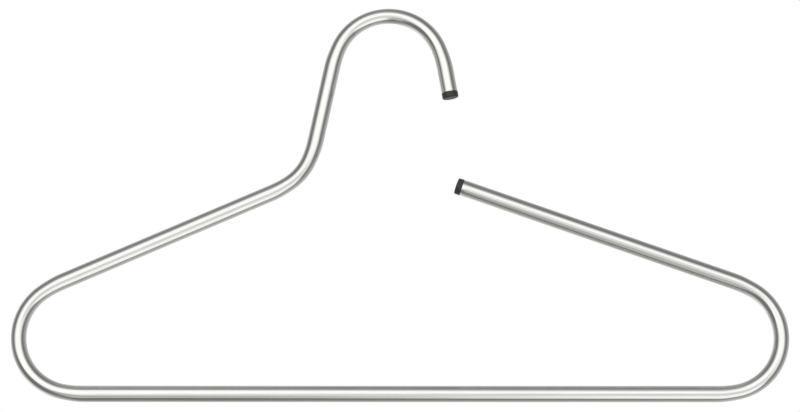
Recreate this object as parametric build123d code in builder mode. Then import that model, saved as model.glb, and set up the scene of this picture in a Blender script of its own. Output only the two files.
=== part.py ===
from build123d import *
import os
from math import copysign

# Trouser hanger: one bent steel tube, open beside its hook, with a push-in plug in each end.
#
# The hanger hangs in the XZ plane. +Z is up, +X runs from the left end to the right end as seen from
# the front, and -Y faces the viewer. The origin is where the hook rests on its rail, on the inner
# side of the tube at the hook's crest.
#
# The tube is a chain of straight runs and bends. Each bend has a main arc with a short, gentler arc
# leading into it and another leading out of it, as a tube has where it springs back from its former.

# Tube, in millimetres
tube_diameter = 9.5
tube_wall = 1.0
end_chamfer = 0.2

# Bends, all made on one former, with radii at the centre of the tube
bend_radius = 31.9
lead_radius = 63.8
lead_turn = 12.0

# How much narrower the tube is in the hanger's plane along a main arc, which the bending flattens. The
# gentler arcs lead from the round tube into that oval.
flattening = 0.5

# Angles of the straight runs, in degrees: from upright for the hook, from the bar for the arms
tip_lean = 10.2
shank_lean = 12.1
left_slope = 23.4
right_slope = 19.3

# Lengths of the straight runs, from the hook's tip round to the end of the free arm
tip_length = 13.3
shank_length = 43.2
left_arm_length = 129.2
bar_length = 361.2
free_arm_length = 165.2

# End plugs
head_thickness = 3.4
head_crown = 0.3
rim_radius = 0.8
stem_wall = 1.0
fin_height = 1.0
fin_bite = 0.1
fin_thickness = 0.6
fin_pitch = 2.0
fin_count = 4

# Sizes that follow
tube_radius = tube_diameter / 2
bore_radius = tube_radius - tube_wall
stem_radius = bore_radius - fin_height
stem_length = (fin_count + 1) * fin_pitch
core_radius = stem_radius - stem_wall
fin_radius = bore_radius + fin_bite


def straight(before, length):
    """A straight run that carries on from the end of the piece before it."""
    return Line(before @ 1, before @ 1 + (before % 1) * length)


def end_of_bend(start, direction, turn):
    """The main arc of a bend and the gentler arc out of it. A turn to the left is positive."""
    lead = copysign(lead_turn, turn)
    main_arc = JernArc(start, direction, bend_radius, turn - lead)
    main_arcs.append(main_arc)
    return JernArc(main_arc @ 1, main_arc % 1, lead_radius, lead)


def bend(before, turn):
    """A whole bend, from the end of a straight run."""
    lead = copysign(lead_turn, turn)
    lead_in = JernArc(before @ 1, before % 1, lead_radius, lead)
    return end_of_bend(lead_in @ 1, lead_in % 1, turn - lead)


def is_flattened(point):
    """Whether a point where two pieces of the route meet belongs to a main arc."""
    return any(point in (arc @ 0, arc @ 1) for arc in main_arcs)


def section_at(point, direction, radius):
    """The section of a rod where two pieces of the route meet: oval at a main arc, round elsewhere."""
    with BuildSketch(Plane(origin=point, x_dir=(0, 1, 0), z_dir=direction)) as section:
        if is_flattened(point):
            Ellipse(radius, radius - flattening / 2)
        else:
            Circle(radius)
    return section.sketch


def add_rod(radius):
    """A solid rod along the whole route, made of one stretch for each piece of the route."""
    stretches = []
    for edge in route.edges():
        start = section_at(edge @ 0, edge % 0, radius)
        end = section_at(edge @ 1, edge % 1, radius)
        if is_flattened(edge @ 0) == is_flattened(edge @ 1):
            stretches.append(sweep(start, path=edge, mode=Mode.PRIVATE))
        else:
            stretches.append(sweep([start, end], path=edge, multisection=True, mode=Mode.PRIVATE))
    add(stretches)


def cut_end(run):
    """The plane of the tube's cut end, facing out of the tube."""
    return Plane(origin=run @ 1, x_dir=(0, 1, 0), z_dir=run % 1)


def make_plug(seat):
    """A moulded plug: a head as wide as the tube, and a hollow stem whose fins grip the bore."""
    section = Plane(origin=seat.origin, x_dir=seat.x_dir, z_dir=-seat.y_dir)
    outward = Axis(seat.origin, seat.z_dir)
    into_tube = (Align.CENTER, Align.CENTER, Align.MAX)
    with BuildPart(seat) as plug:
        with BuildSketch(section):
            with BuildLine():
                crown_height = head_thickness + head_crown
                crown = TangentArc((0, crown_height), (tube_radius, head_thickness), tangent=(1, 0))
                Polyline(crown @ 1, (tube_radius, 0), (0, 0), crown @ 0)
            make_face()
        revolve(axis=outward)
        rim = plug.edges().group_by(SortBy.LENGTH)[-1].sort_by(outward)[-1]
        fillet(rim, radius=rim_radius)

        Cylinder(stem_radius, stem_length, align=into_tube)
        nose = plug.edges().filter_by(GeomType.CIRCLE).sort_by(outward)[0]
        chamfer(nose, length=stem_wall / 2)
        with Locations(*[(0, 0, -(fin + 1) * fin_pitch) for fin in range(fin_count)]):
            Cylinder(fin_radius, fin_thickness)
        Cylinder(core_radius, stem_length, align=into_tube, mode=Mode.SUBTRACT)
    return plug


# Route of the tube's centre line, drawn from the hook's crest to each of its two ends
main_arcs = []
with BuildLine(Plane.XZ) as route:
    crest = (0, tube_radius - flattening / 2)
    hook_front = end_of_bend(crest, (1, 0), tip_lean - 90)
    tip = straight(hook_front, tip_length)

    hook_back = end_of_bend(crest, (-1, 0), 90 - shank_lean)
    shank = straight(hook_back, shank_length)
    neck = bend(shank, left_slope + shank_lean - 90)
    left_arm = straight(neck, left_arm_length)
    left_end = bend(left_arm, 180 - left_slope)
    bar = straight(left_end, bar_length)
    right_end = bend(bar, 180 - right_slope)
    free_arm = straight(right_end, free_arm_length)

hook_seat = cut_end(tip)
arm_seat = cut_end(free_arm)

with BuildPart() as bore:
    add_rod(bore_radius)

# Bent tube, with its bore, and with the outer rims of both cut ends broken
with BuildPart() as bent_tube:
    add_rod(tube_radius)
    add(bore.part, mode=Mode.SUBTRACT)
    cut_faces = bent_tube.faces().filter_by(GeomType.PLANE)
    chamfer([face.edges().sort_by(SortBy.LENGTH)[-1] for face in cut_faces], length=end_chamfer)

hook_end_plug = make_plug(hook_seat)
arm_end_plug = make_plug(arm_seat)

# Labels and files
bent_tube.part.label = "bent_tube"
hook_end_plug.part.label = "hook_end_plug"
arm_end_plug.part.label = "arm_end_plug"

os.makedirs("parts", exist_ok=True)
export_step(bent_tube.part, "parts/bent_tube.step")
export_step(hook_end_plug.part, "parts/hook_end_plug.step")
export_step(arm_end_plug.part, "parts/arm_end_plug.step")

# Sizes that a user of the hanger asks for
box = bent_tube.part.bounding_box()
mouth = (hook_seat.origin - arm_seat.origin).length - 2 * (head_thickness + head_crown)
print(f"tube length {route.wire().length:.1f}, width {box.size.X:.1f}, height {box.size.Z:.1f}")
print(f"left reach {-box.min.X:.1f}, right reach {box.max.X:.1f}, lowest point {box.min.Z:.1f}")
print(f"way in between the two plugs {mouth:.1f}")
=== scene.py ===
from math import atan2, ceil, cos, hypot, pi, radians, sin, sqrt

import bmesh
import bpy
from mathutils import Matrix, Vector


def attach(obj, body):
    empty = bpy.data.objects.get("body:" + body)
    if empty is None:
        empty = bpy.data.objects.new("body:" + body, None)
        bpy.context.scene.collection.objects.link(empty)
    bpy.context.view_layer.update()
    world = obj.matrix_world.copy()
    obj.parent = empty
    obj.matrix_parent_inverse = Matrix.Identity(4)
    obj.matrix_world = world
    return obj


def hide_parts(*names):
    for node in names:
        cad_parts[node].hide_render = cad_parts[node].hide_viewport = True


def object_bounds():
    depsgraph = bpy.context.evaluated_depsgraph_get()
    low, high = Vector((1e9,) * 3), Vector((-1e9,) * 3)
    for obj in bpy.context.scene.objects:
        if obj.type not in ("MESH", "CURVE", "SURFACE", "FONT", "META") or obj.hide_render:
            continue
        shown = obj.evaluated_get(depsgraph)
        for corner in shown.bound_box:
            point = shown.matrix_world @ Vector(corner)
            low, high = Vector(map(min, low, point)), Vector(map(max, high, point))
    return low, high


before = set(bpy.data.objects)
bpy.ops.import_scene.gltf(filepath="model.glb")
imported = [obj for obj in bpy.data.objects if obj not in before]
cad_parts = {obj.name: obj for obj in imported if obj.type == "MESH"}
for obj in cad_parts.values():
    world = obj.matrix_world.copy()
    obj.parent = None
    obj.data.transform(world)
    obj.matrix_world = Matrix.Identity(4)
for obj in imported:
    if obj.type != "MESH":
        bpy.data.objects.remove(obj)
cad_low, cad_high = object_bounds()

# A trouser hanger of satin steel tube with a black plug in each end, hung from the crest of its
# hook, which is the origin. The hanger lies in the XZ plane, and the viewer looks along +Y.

MM = 0.001

# Tube
TUBE_RADIUS = 4.75 * MM
TUBE_WALL = 1.0 * MM
RIM_ROUND = 0.2 * MM
BORE_RADIUS = TUBE_RADIUS - TUBE_WALL

# Bends: a main arc with a short, gentler arc leading in and out. The main arc is narrower than the
# straight tube in the hanger's plane, because bending flattens it.
BEND_RADIUS = 31.9 * MM
LEAD_RADIUS = 63.8 * MM
LEAD_TURN = 12.0
FLATTENING = 0.5 * MM

# Angles of the straight runs, in degrees: from upright for the hook, from the bar for the arms
TIP_LEAN = 10.2
SHANK_LEAN = 12.1
LEFT_SLOPE = 23.4
RIGHT_SLOPE = 19.3

# Lengths of the straight runs, from the hook's tip round to the end of the free arm
TIP_LENGTH = 13.3 * MM
SHANK_LENGTH = 43.2 * MM
LEFT_ARM_LENGTH = 129.2 * MM
BAR_LENGTH = 361.2 * MM
FREE_ARM_LENGTH = 165.2 * MM

# Plugs
HEAD_THICKNESS = 3.4 * MM
HEAD_CROWN = 0.3 * MM
HEAD_ROUND = 0.8 * MM
SEAT_ROUND = 0.12 * MM
STEM_WALL = 1.0 * MM
FIN_HEIGHT = 1.0 * MM
FIN_THICKNESS = 0.6 * MM
FIN_PITCH = 2.0 * MM
FIN_COUNT = 4
STEM_RADIUS = BORE_RADIUS - FIN_HEIGHT
CORE_RADIUS = STEM_RADIUS - STEM_WALL

# Fineness of the meshes. The bore takes only one in a few of the outside's rings.
TUBE_SIDES = 80
RING_GAP = 3.0 * MM
BEND_STEP = 1.5
BORE_EVERY = 4
ROUND_STEPS = 5
PLUG_SIDES = 96
FLOOR_SIDES = 128
SMOOTH_ANGLE = 40.0

# Patterns in the materials. Scale is how fine one is, per metre, and along is the share of that
# which is left along the tube, so that a small one draws the pattern out into lines.
HAIRLINES = {"scale": 9000, "detail": 3, "roughness": 0.65, "along": 0.012}
STREAKS = {"scale": 1600, "detail": 2, "along": 0.03}
STEEL_CLOUD = {"scale": 55, "detail": 3}
GRAIN = {"scale": 4200, "detail": 3}
PLASTIC_CLOUD = {"scale": 500, "detail": 2}

# Where nearly all of a noise's values lie
NOISE_LOW = 0.3
NOISE_HIGH = 0.7

# Steel: two colours that the patterns mix, how far each pattern moves the mix from half and half,
# and the roughness with how far each pattern moves it
DARK_STEEL = (0.692, 0.69, 0.665, 1.0)
BRIGHT_STEEL = (0.892, 0.89, 0.86, 1.0)
HAIRLINE_SHADE = 0.15
STREAK_SHADE = 0.12
CLOUD_SHADE = 0.05
STEEL_ROUGHNESS = 0.1
HAIRLINE_ROUGHNESS = 0.04
CLOUD_ROUGHNESS = 0.02
HAIRLINE_DEPTH = 0.003 * MM

# Plastic
DARK_PLASTIC = (0.024, 0.024, 0.023, 1.0)
PALE_PLASTIC = (0.038, 0.038, 0.036, 1.0)
PLASTIC_ROUGHNESS = 0.49
GRAIN_ROUGHNESS = 0.07
GRAIN_DEPTH = 0.03 * MM

# The photograph's view: the middle of the picture on the hanger's plane, how far away the eye is, and
# how many degrees it is below that place and to its left. Sensor and lens are in millimetres.
AIM = Vector((6.6, 0, -108.65)) * MM
EYE_DISTANCE = 1450 * MM
EYE_BELOW = 10.0
EYE_LEFT = 0.25
SENSOR = 36.0
LENS = 112.5
NEAREST = 0.01
FARTHEST = 100

# Floor, in metres: how far it lies below the hanger, how wide it is, and where it starts to fade
FLOOR_DROP = 0.23
FLOOR_RADIUS = 1.6
FLOOR_FADE_START = 0.5
FLOOR_COLOUR = (0.80, 0.80, 0.79, 1.0)
FLOOR_ROUGHNESS = 0.8

# What the camera sees round the floor and behind the hanger
WHITE = (1.0, 1.0, 1.0, 1.0)

# Lamp
LAMP_PLACE = Vector((-0.6, -0.7, 1.1))
LAMP_SIZE = 0.5
LAMP_POWER = 6.0

# Brightness of the dome round the scene, where it lights the hanger and where the metal reflects it
DOME_LIGHT = 0.85
DOME_SHEEN = 0.65

# What else the metal reflects, painted on the dome one over another. Each light or dark place has its
# middle, as degrees towards +X and up from straight in front of the hanger, then where it starts and
# ends to fade, as degrees from its middle, and its brightness. Left and right are the viewer's.
STUDIO = {
    "softbox behind the hanger": (180, 0, 12, 34, 1.15),
    "dark floor, below on the left": (-55, -75, 5, 60, 0.0),
    "window on the left": (-95, -15, 40, 80, 1.2),
    "left wall, high up": (-95, 65, 50, 60, 0.85),
    "dark room round the camera": (-10, 10, 65, 160, 0.2),
    "ceiling above the softbox": (-10, 60, 0, 35, 0.4),
    "softbox in front": (-5, -5, 25, 70, 1.25),
    "dark floor in front": (-20, -50, 10, 40, 0.0),
    "reflector, low on the right": (20, -48, 18, 30, 1.15),
    "camera and its stand": (10, -15, 10, 25, 0.8),
    "bright patch above the camera": (-10, 33, 8, 14, 1.2),
    "table edge, low on the left": (-25, -45, 20, 30, 0.55),
    "dark corner, low on the left": (-55, -45, 25, 35, 0.2),
}


def station_at(x, z, heading, along, flat):
    """A place on the tube's centre line. flat is its share of the flattening."""
    return {"x": x, "z": z, "heading": heading, "along": along, "flat": flat}


def run(length):
    """A straight step of the route."""
    return {"length": length, "turn": 0.0, "flat": (0, 0)}


def arc(radius, turn, flat):
    """A bent step of the route, with the share of flattening at its start and at its end."""
    return {"length": radius * abs(radians(turn)), "turn": turn, "flat": flat}


def walk(start, steps):
    """Stations along a chain of straight and bent steps."""
    stations = [start]
    for step in steps:
        here = stations[-1]
        turn = step["turn"]
        flat_start, flat_end = step["flat"]
        count = ceil(abs(turn) / BEND_STEP) if turn else ceil(step["length"] / RING_GAP)
        for i in range(1, count + 1):
            share = i / count
            ease = share * share * (3 - 2 * share)
            half_turn = radians(turn * share / 2)
            middle = radians(here["heading"]) + half_turn
            chord = step["length"] * share
            if turn:
                chord *= sin(half_turn) / half_turn
            stations.append(
                station_at(
                    here["x"] + chord * cos(middle),
                    here["z"] + chord * sin(middle),
                    here["heading"] + turn * share,
                    here["along"] + step["length"] * share,
                    flat_start + (flat_end - flat_start) * ease,
                )
            )
    return stations


def end_of_bend(turn):
    """The main arc of a bend and the gentler arc out of it. A turn to the left is positive."""
    lead = LEAD_TURN if turn > 0 else -LEAD_TURN
    return [arc(BEND_RADIUS, turn - lead, (1, 1)), arc(LEAD_RADIUS, lead, (1, 0))]


def bend(turn):
    """A whole bend, between two straight runs."""
    lead = LEAD_TURN if turn > 0 else -LEAD_TURN
    return [arc(LEAD_RADIUS, lead, (0, 1))] + end_of_bend(turn - lead)


def tube_route():
    """Stations from the hook's tip, over its crest and round to the end of the free arm."""
    crest = TUBE_RADIUS - FLATTENING / 2
    front = walk(station_at(0, crest, 0, 0, 1), end_of_bend(TIP_LEAN - 90) + [run(TIP_LENGTH)])
    back = walk(
        station_at(0, crest, 180, 0, 1),
        end_of_bend(90 - SHANK_LEAN)
        + [run(SHANK_LENGTH)]
        + bend(LEFT_SLOPE + SHANK_LEAN - 90)
        + [run(LEFT_ARM_LENGTH)]
        + bend(180 - LEFT_SLOPE)
        + [run(BAR_LENGTH)]
        + bend(180 - RIGHT_SLOPE)
        + [run(FREE_ARM_LENGTH)],
    )
    tip_to_crest = []
    for station in reversed(front[1:]):
        turned_round = {"heading": station["heading"] + 180, "along": -station["along"]}
        tip_to_crest.append(station | turned_round)
    return tip_to_crest + back


def directions(station):
    """Along the tube, and square to it in the hanger's plane."""
    heading = radians(station["heading"])
    return Vector((cos(heading), 0, sin(heading))), Vector((-sin(heading), 0, cos(heading)))


def ring(station, radius, sides, ahead=0.0):
    """A ring of points round the tube, each with its place on the tube as if it were straight."""
    forward, side = directions(station)
    centre = Vector((station["x"], 0, station["z"])) + forward * ahead
    radius_in_plane = radius - FLATTENING / 2 * station["flat"]
    points = []
    for i in range(sides):
        angle = 2 * pi * i / sides
        across = radius_in_plane * cos(angle)
        deep = radius * sin(angle)
        point = centre + side * across + Vector((0, deep, 0))
        points.append((point, Vector((across, deep, station["along"] + ahead))))
    return points


def quarter_round():
    """Shares across and along a rounded corner, from its start to its end."""
    for i in range(ROUND_STEPS + 1):
        angle = pi / 2 * i / ROUND_STEPS
        yield 1 - cos(angle), sin(angle)


def mesh_of_rings(name, rings, closed):
    """A mesh from rings of points. It keeps each point's place on the straight piece as "lie"."""
    bm = bmesh.new()
    lie = bm.verts.layers.float_vector.new("lie")
    rows = []
    for points in rings:
        row = []
        for point, place in points:
            vert = bm.verts.new(point)
            vert[lie] = place
            row.append(vert)
        rows.append(row)
    pairs = list(zip(rows, rows[1:]))
    if closed:
        pairs.append((rows[-1], rows[0]))
    for row, following in pairs:
        count = max(len(row), len(following))
        for i in range(count):
            corners = [row[i % len(row)], row[(i + 1) % len(row)]]
            corners += [following[(i + 1) % len(following)], following[i % len(following)]]
            # A row of one point gives the same corner twice, and its faces are triangles
            bm.faces.new(dict.fromkeys(corners))
    bmesh.ops.recalc_face_normals(bm, faces=bm.faces)
    mesh = bpy.data.meshes.new(name)
    bm.to_mesh(mesh)
    bm.free()
    mesh.shade_smooth()
    mesh.set_sharp_from_angle(angle=radians(SMOOTH_ANGLE))
    piece = bpy.data.objects.new(name, mesh)
    bpy.context.scene.collection.objects.link(piece)
    return piece


def rounded_rim(end, inward):
    """Rings round the outer rim of a cut end, from the outside to the end face.

    inward is -1 where the tube lies before its end along the route, and 1 where it lies after.
    """
    return [
        ring(end, TUBE_RADIUS - RIM_ROUND * across, TUBE_SIDES, inward * RIM_ROUND * (1 - along))
        for across, along in quarter_round()
    ]


def make_tube(route):
    """The bent tube, with its bore and with rounded outer rims."""
    first, last = route[0], route[-1]
    outside = [ring(station, TUBE_RADIUS, TUBE_SIDES) for station in route[1:-1]]
    bore_route = [first] + route[BORE_EVERY:-BORE_EVERY:BORE_EVERY] + [last]
    bore = [ring(station, BORE_RADIUS, TUBE_SIDES) for station in reversed(bore_route)]
    rings = outside + rounded_rim(last, -1) + bore + rounded_rim(first, 1)[::-1]
    return mesh_of_rings("frame_tube", rings, closed=True)


def head_profile():
    """The plug's head, as radius and height, from the crown's middle to the seat on the tube."""
    crown_radius = (TUBE_RADIUS**2 + HEAD_CROWN**2) / (2 * HEAD_CROWN)
    crown_centre = HEAD_THICKNESS + HEAD_CROWN - crown_radius
    round_centre = TUBE_RADIUS - HEAD_ROUND
    lift = sqrt((crown_radius - HEAD_ROUND) ** 2 - round_centre**2)
    crown_end = atan2(round_centre, lift)
    steps = 2 * ROUND_STEPS
    profile = []
    for i in range(steps):
        angle = crown_end * i / steps
        profile.append((crown_radius * sin(angle), crown_centre + crown_radius * cos(angle)))
    for i in range(steps + 1):
        angle = crown_end + (pi / 2 - crown_end) * i / steps
        radius = round_centre + HEAD_ROUND * sin(angle)
        profile.append((radius, crown_centre + lift + HEAD_ROUND * cos(angle)))
    for across, along in quarter_round():
        profile.append((TUBE_RADIUS - SEAT_ROUND * across, SEAT_ROUND * (1 - along)))
    return profile


def stem_profile():
    """The plug's hollow stem with its fins, as radius and height, from the seat to the middle."""
    profile = [(STEM_RADIUS, 0)]
    for fin in range(1, FIN_COUNT + 1):
        top = -fin * FIN_PITCH + FIN_THICKNESS / 2
        bottom = -fin * FIN_PITCH - FIN_THICKNESS / 2
        profile += [(STEM_RADIUS, top), (BORE_RADIUS, top)]
        profile += [(BORE_RADIUS, bottom), (STEM_RADIUS, bottom)]
    nose = -(FIN_COUNT + 1) * FIN_PITCH
    profile += [(STEM_RADIUS, nose + STEM_WALL / 2), (STEM_RADIUS - STEM_WALL / 2, nose)]
    profile += [(CORE_RADIUS, nose), (CORE_RADIUS, 0), (0, 0)]
    return profile


def make_plug(name, seat, outward):
    """A moulded plug on the tube's end. outward is 1 at the route's end and -1 at its start.

    Height 0 of its profile is the tube's cut end, and the head stands above it.
    """
    rings = []
    for radius, height in head_profile() + stem_profile():
        sides = PLUG_SIDES if radius else 1
        rings.append(ring(seat, radius, sides, outward * height))
    return mesh_of_rings(name, rings, closed=False)


class Nodes:
    """A short way to write a node tree."""

    def __init__(self, tree):
        self.tree = tree
        self.tree.nodes.clear()

    def add(self, kind, *values, **settings):
        """A new node, with values or links for its first inputs."""
        node = self.tree.nodes.new("ShaderNode" + kind)
        for key, value in settings.items():
            setattr(node, key, value)
        for socket, value in zip(node.inputs, values):
            self.set(socket, value)
        return node

    def set(self, socket, value):
        """Link a socket to another one, or give it a value."""
        if isinstance(value, bpy.types.NodeSocket):
            self.tree.links.new(value, socket)
        else:
            socket.default_value = value

    def maths(self, operation, *values):
        """A number worked out from others."""
        return self.add("Math", *values, operation=operation).outputs[0]

    def ramp(self, value, low, high, new_low, new_high, kind="LINEAR"):
        """The value, with low to high turned into new_low to new_high, and kept within them."""
        node = self.add("MapRange", value, low, high, new_low, new_high, interpolation_type=kind)
        return node.outputs["Result"]

    def blend(self, share, first, second, kind="FLOAT"):
        """The share of the way from the first number or colour to the second."""
        node = self.add("Mix", share, data_type=kind)
        self.set(node.inputs["A"], first)
        self.set(node.inputs["B"], second)
        return node.outputs["Result"]

    def place(self):
        """The place on the piece as if it were straight, with its length along Z."""
        return self.add("Attribute", attribute_name="lie").outputs["Vector"]

    def noise(self, place, scale, detail, roughness=0.5, along=1.0):
        """A noise pattern, drawn out along the piece where along is below 1."""
        drawn_out = self.add("VectorMath", place, (1, 1, along), operation="MULTIPLY")
        node = self.add("TexNoise", drawn_out.outputs["Vector"], noise_dimensions="3D")
        node.inputs["Scale"].default_value = scale
        node.inputs["Detail"].default_value = detail
        node.inputs["Roughness"].default_value = roughness
        return node.outputs["Fac"]

    def swing(self, middle, noises):
        """A middle value that each noise moves up or down by its own amount."""
        value = middle
        for noise, amount in noises:
            value = self.maths("ADD", self.ramp(noise, NOISE_LOW, NOISE_HIGH, -amount, amount), value)
        return value

    def bump(self, shader, height, depth):
        """A relief on a shader's surface."""
        node = self.add("Bump")
        node.inputs["Strength"].default_value = 1.0
        node.inputs["Distance"].default_value = depth
        self.set(node.inputs["Height"], height)
        self.set(shader.inputs["Normal"], node.outputs["Normal"])


def material(name):
    """A material with its shader and output, and a way to add nodes to it."""
    made = bpy.data.materials.new(name)
    made.use_nodes = True
    nodes = Nodes(made.node_tree)
    shader = nodes.add("BsdfPrincipled")
    output = nodes.add("OutputMaterial")
    nodes.set(output.inputs["Surface"], shader.outputs["BSDF"])
    return made, nodes, shader, output


def steel_material():
    """Stainless steel, satin from a fine belt run along the tube."""
    made, nodes, shader, _ = material("satin_steel")
    place = nodes.place()
    hairlines = nodes.noise(place, **HAIRLINES)
    streaks = nodes.noise(place, **STREAKS)
    cloud = nodes.noise(place, **STEEL_CLOUD)
    shades = ((hairlines, HAIRLINE_SHADE), (streaks, STREAK_SHADE), (cloud, CLOUD_SHADE))
    colour = nodes.blend(nodes.swing(0.5, shades), DARK_STEEL, BRIGHT_STEEL, "RGBA")
    rough = nodes.swing(
        STEEL_ROUGHNESS, ((hairlines, HAIRLINE_ROUGHNESS), (cloud, CLOUD_ROUGHNESS))
    )
    nodes.set(shader.inputs["Base Color"], colour)
    nodes.set(shader.inputs["Roughness"], rough)
    shader.inputs["Metallic"].default_value = 1.0
    nodes.bump(shader, hairlines, HAIRLINE_DEPTH)
    return made


def plastic_material():
    """Black moulded plastic with a fine matt grain."""
    made, nodes, shader, _ = material("black_plastic")
    place = nodes.place()
    grain = nodes.noise(place, **GRAIN)
    cloud = nodes.noise(place, **PLASTIC_CLOUD)
    colour = nodes.blend(cloud, DARK_PLASTIC, PALE_PLASTIC, "RGBA")
    rough = nodes.swing(PLASTIC_ROUGHNESS, ((grain, GRAIN_ROUGHNESS),))
    nodes.set(shader.inputs["Base Color"], colour)
    nodes.set(shader.inputs["Roughness"], rough)
    nodes.bump(shader, grain, GRAIN_DEPTH)
    return made


def floor_material(height):
    """A pale matt floor, which the camera sees fade into the white ground around it."""
    made, nodes, shader, output = material("pale_floor")
    shader.inputs["Base Color"].default_value = FLOOR_COLOUR
    shader.inputs["Roughness"].default_value = FLOOR_ROUGHNESS
    place = nodes.add("NewGeometry").outputs["Position"]
    from_middle = nodes.add("VectorMath", place, (0, 0, height), operation="DISTANCE")
    distance = from_middle.outputs["Value"]
    fade = nodes.ramp(distance, FLOOR_FADE_START, FLOOR_RADIUS, 0, 1, "SMOOTHSTEP")
    fade = nodes.maths("MULTIPLY", fade, nodes.add("LightPath").outputs["Is Camera Ray"])
    white = nodes.add("Emission", WHITE, 1.0)
    surface = nodes.add("MixShader", fade, shader.outputs["BSDF"], white.outputs["Emission"])
    nodes.set(output.inputs["Surface"], surface.outputs["Shader"])
    return made


def make_floor():
    """A round floor below the hanger."""
    height = cad_low.z - FLOOR_DROP
    bm = bmesh.new()
    bmesh.ops.create_circle(bm, cap_ends=True, segments=FLOOR_SIDES, radius=FLOOR_RADIUS)
    bmesh.ops.translate(bm, verts=bm.verts, vec=(0, 0, height))
    mesh = bpy.data.meshes.new("floor")
    bm.to_mesh(mesh)
    bm.free()
    mesh.materials.append(floor_material(height))
    floor = bpy.data.objects.new("floor", mesh)
    bpy.context.scene.collection.objects.link(floor)
    floor.visible_glossy = False


def studio_direction(right, up):
    """The direction so many degrees towards +X and up from straight in front of the hanger."""
    away = radians(hypot(right, up))
    turn = atan2(up, right)
    return sin(away) * cos(turn), -cos(away), sin(away) * sin(turn)


def make_world():
    """A dome that the camera sees as white. Only reflections see the studio painted on it."""
    world = bpy.data.worlds.new("studio")
    world.use_nodes = True
    nodes = Nodes(world.node_tree)
    where = nodes.add("TexCoord").outputs["Generated"]
    light = DOME_SHEEN
    for right, up, full, gone, brightness in STUDIO.values():
        direction = studio_direction(right, up)
        dot = nodes.add("VectorMath", where, direction, operation="DOT_PRODUCT").outputs["Value"]
        angle = nodes.maths("ARCCOSINE", dot)
        share = nodes.ramp(angle, radians(full), radians(gone), 1, 0, "SMOOTHSTEP")
        light = nodes.blend(share, light, brightness)
    rays = nodes.add("LightPath").outputs
    light = nodes.blend(rays["Is Glossy Ray"], DOME_LIGHT, light)
    light = nodes.blend(rays["Is Camera Ray"], light, 1.0)
    background = nodes.add("Background", WHITE, light)
    output = nodes.add("OutputWorld")
    nodes.set(output.inputs["Surface"], background.outputs["Background"])
    bpy.context.scene.world = world


def make_lamp():
    """One broad soft lamp, high on the left in front, for the shadow on the floor."""
    data = bpy.data.lights.new("softbox", "AREA")
    data.shape = "DISK"
    data.size = LAMP_SIZE
    data.energy = LAMP_POWER
    lamp = bpy.data.objects.new("softbox", data)
    bpy.context.scene.collection.objects.link(lamp)
    lamp.location = LAMP_PLACE
    aim = Vector((0, 0, cad_low.z)) - LAMP_PLACE
    lamp.rotation_euler = aim.to_track_quat("-Z", "Y").to_euler()
    lamp.visible_glossy = False


def make_camera():
    """The photograph's view, from below the hanger and looking up at it."""
    data = bpy.data.cameras.new("camera")
    data.sensor_width = SENSOR
    data.lens = LENS
    data.clip_start = NEAREST
    data.clip_end = FARTHEST
    camera = bpy.data.objects.new("camera", data)
    bpy.context.scene.collection.objects.link(camera)
    rise, side = radians(EYE_BELOW), radians(EYE_LEFT)
    forward = Vector((sin(side) * cos(rise), cos(side) * cos(rise), sin(rise)))
    camera.location = AIM - forward * EYE_DISTANCE
    camera.rotation_euler = forward.to_track_quat("-Z", "Y").to_euler()
    bpy.context.scene.camera = camera


route = tube_route()
steel, plastic = steel_material(), plastic_material()
for piece, node, slot, look in (
    (make_tube(route), "bent_tube", "steel_tube", steel),
    (make_plug("hook_plug", route[0], -1), "hook_end_plug", "plug_plastic", plastic),
    (make_plug("arm_plug", route[-1], 1), "arm_end_plug", "plug_plastic", plastic),
):
    piece.data.materials.append(look)
    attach(piece, "root")
    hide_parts(node)

make_floor()
make_world()
make_lamp()
make_camera()
bpy.context.scene.view_settings.view_transform = "Standard"
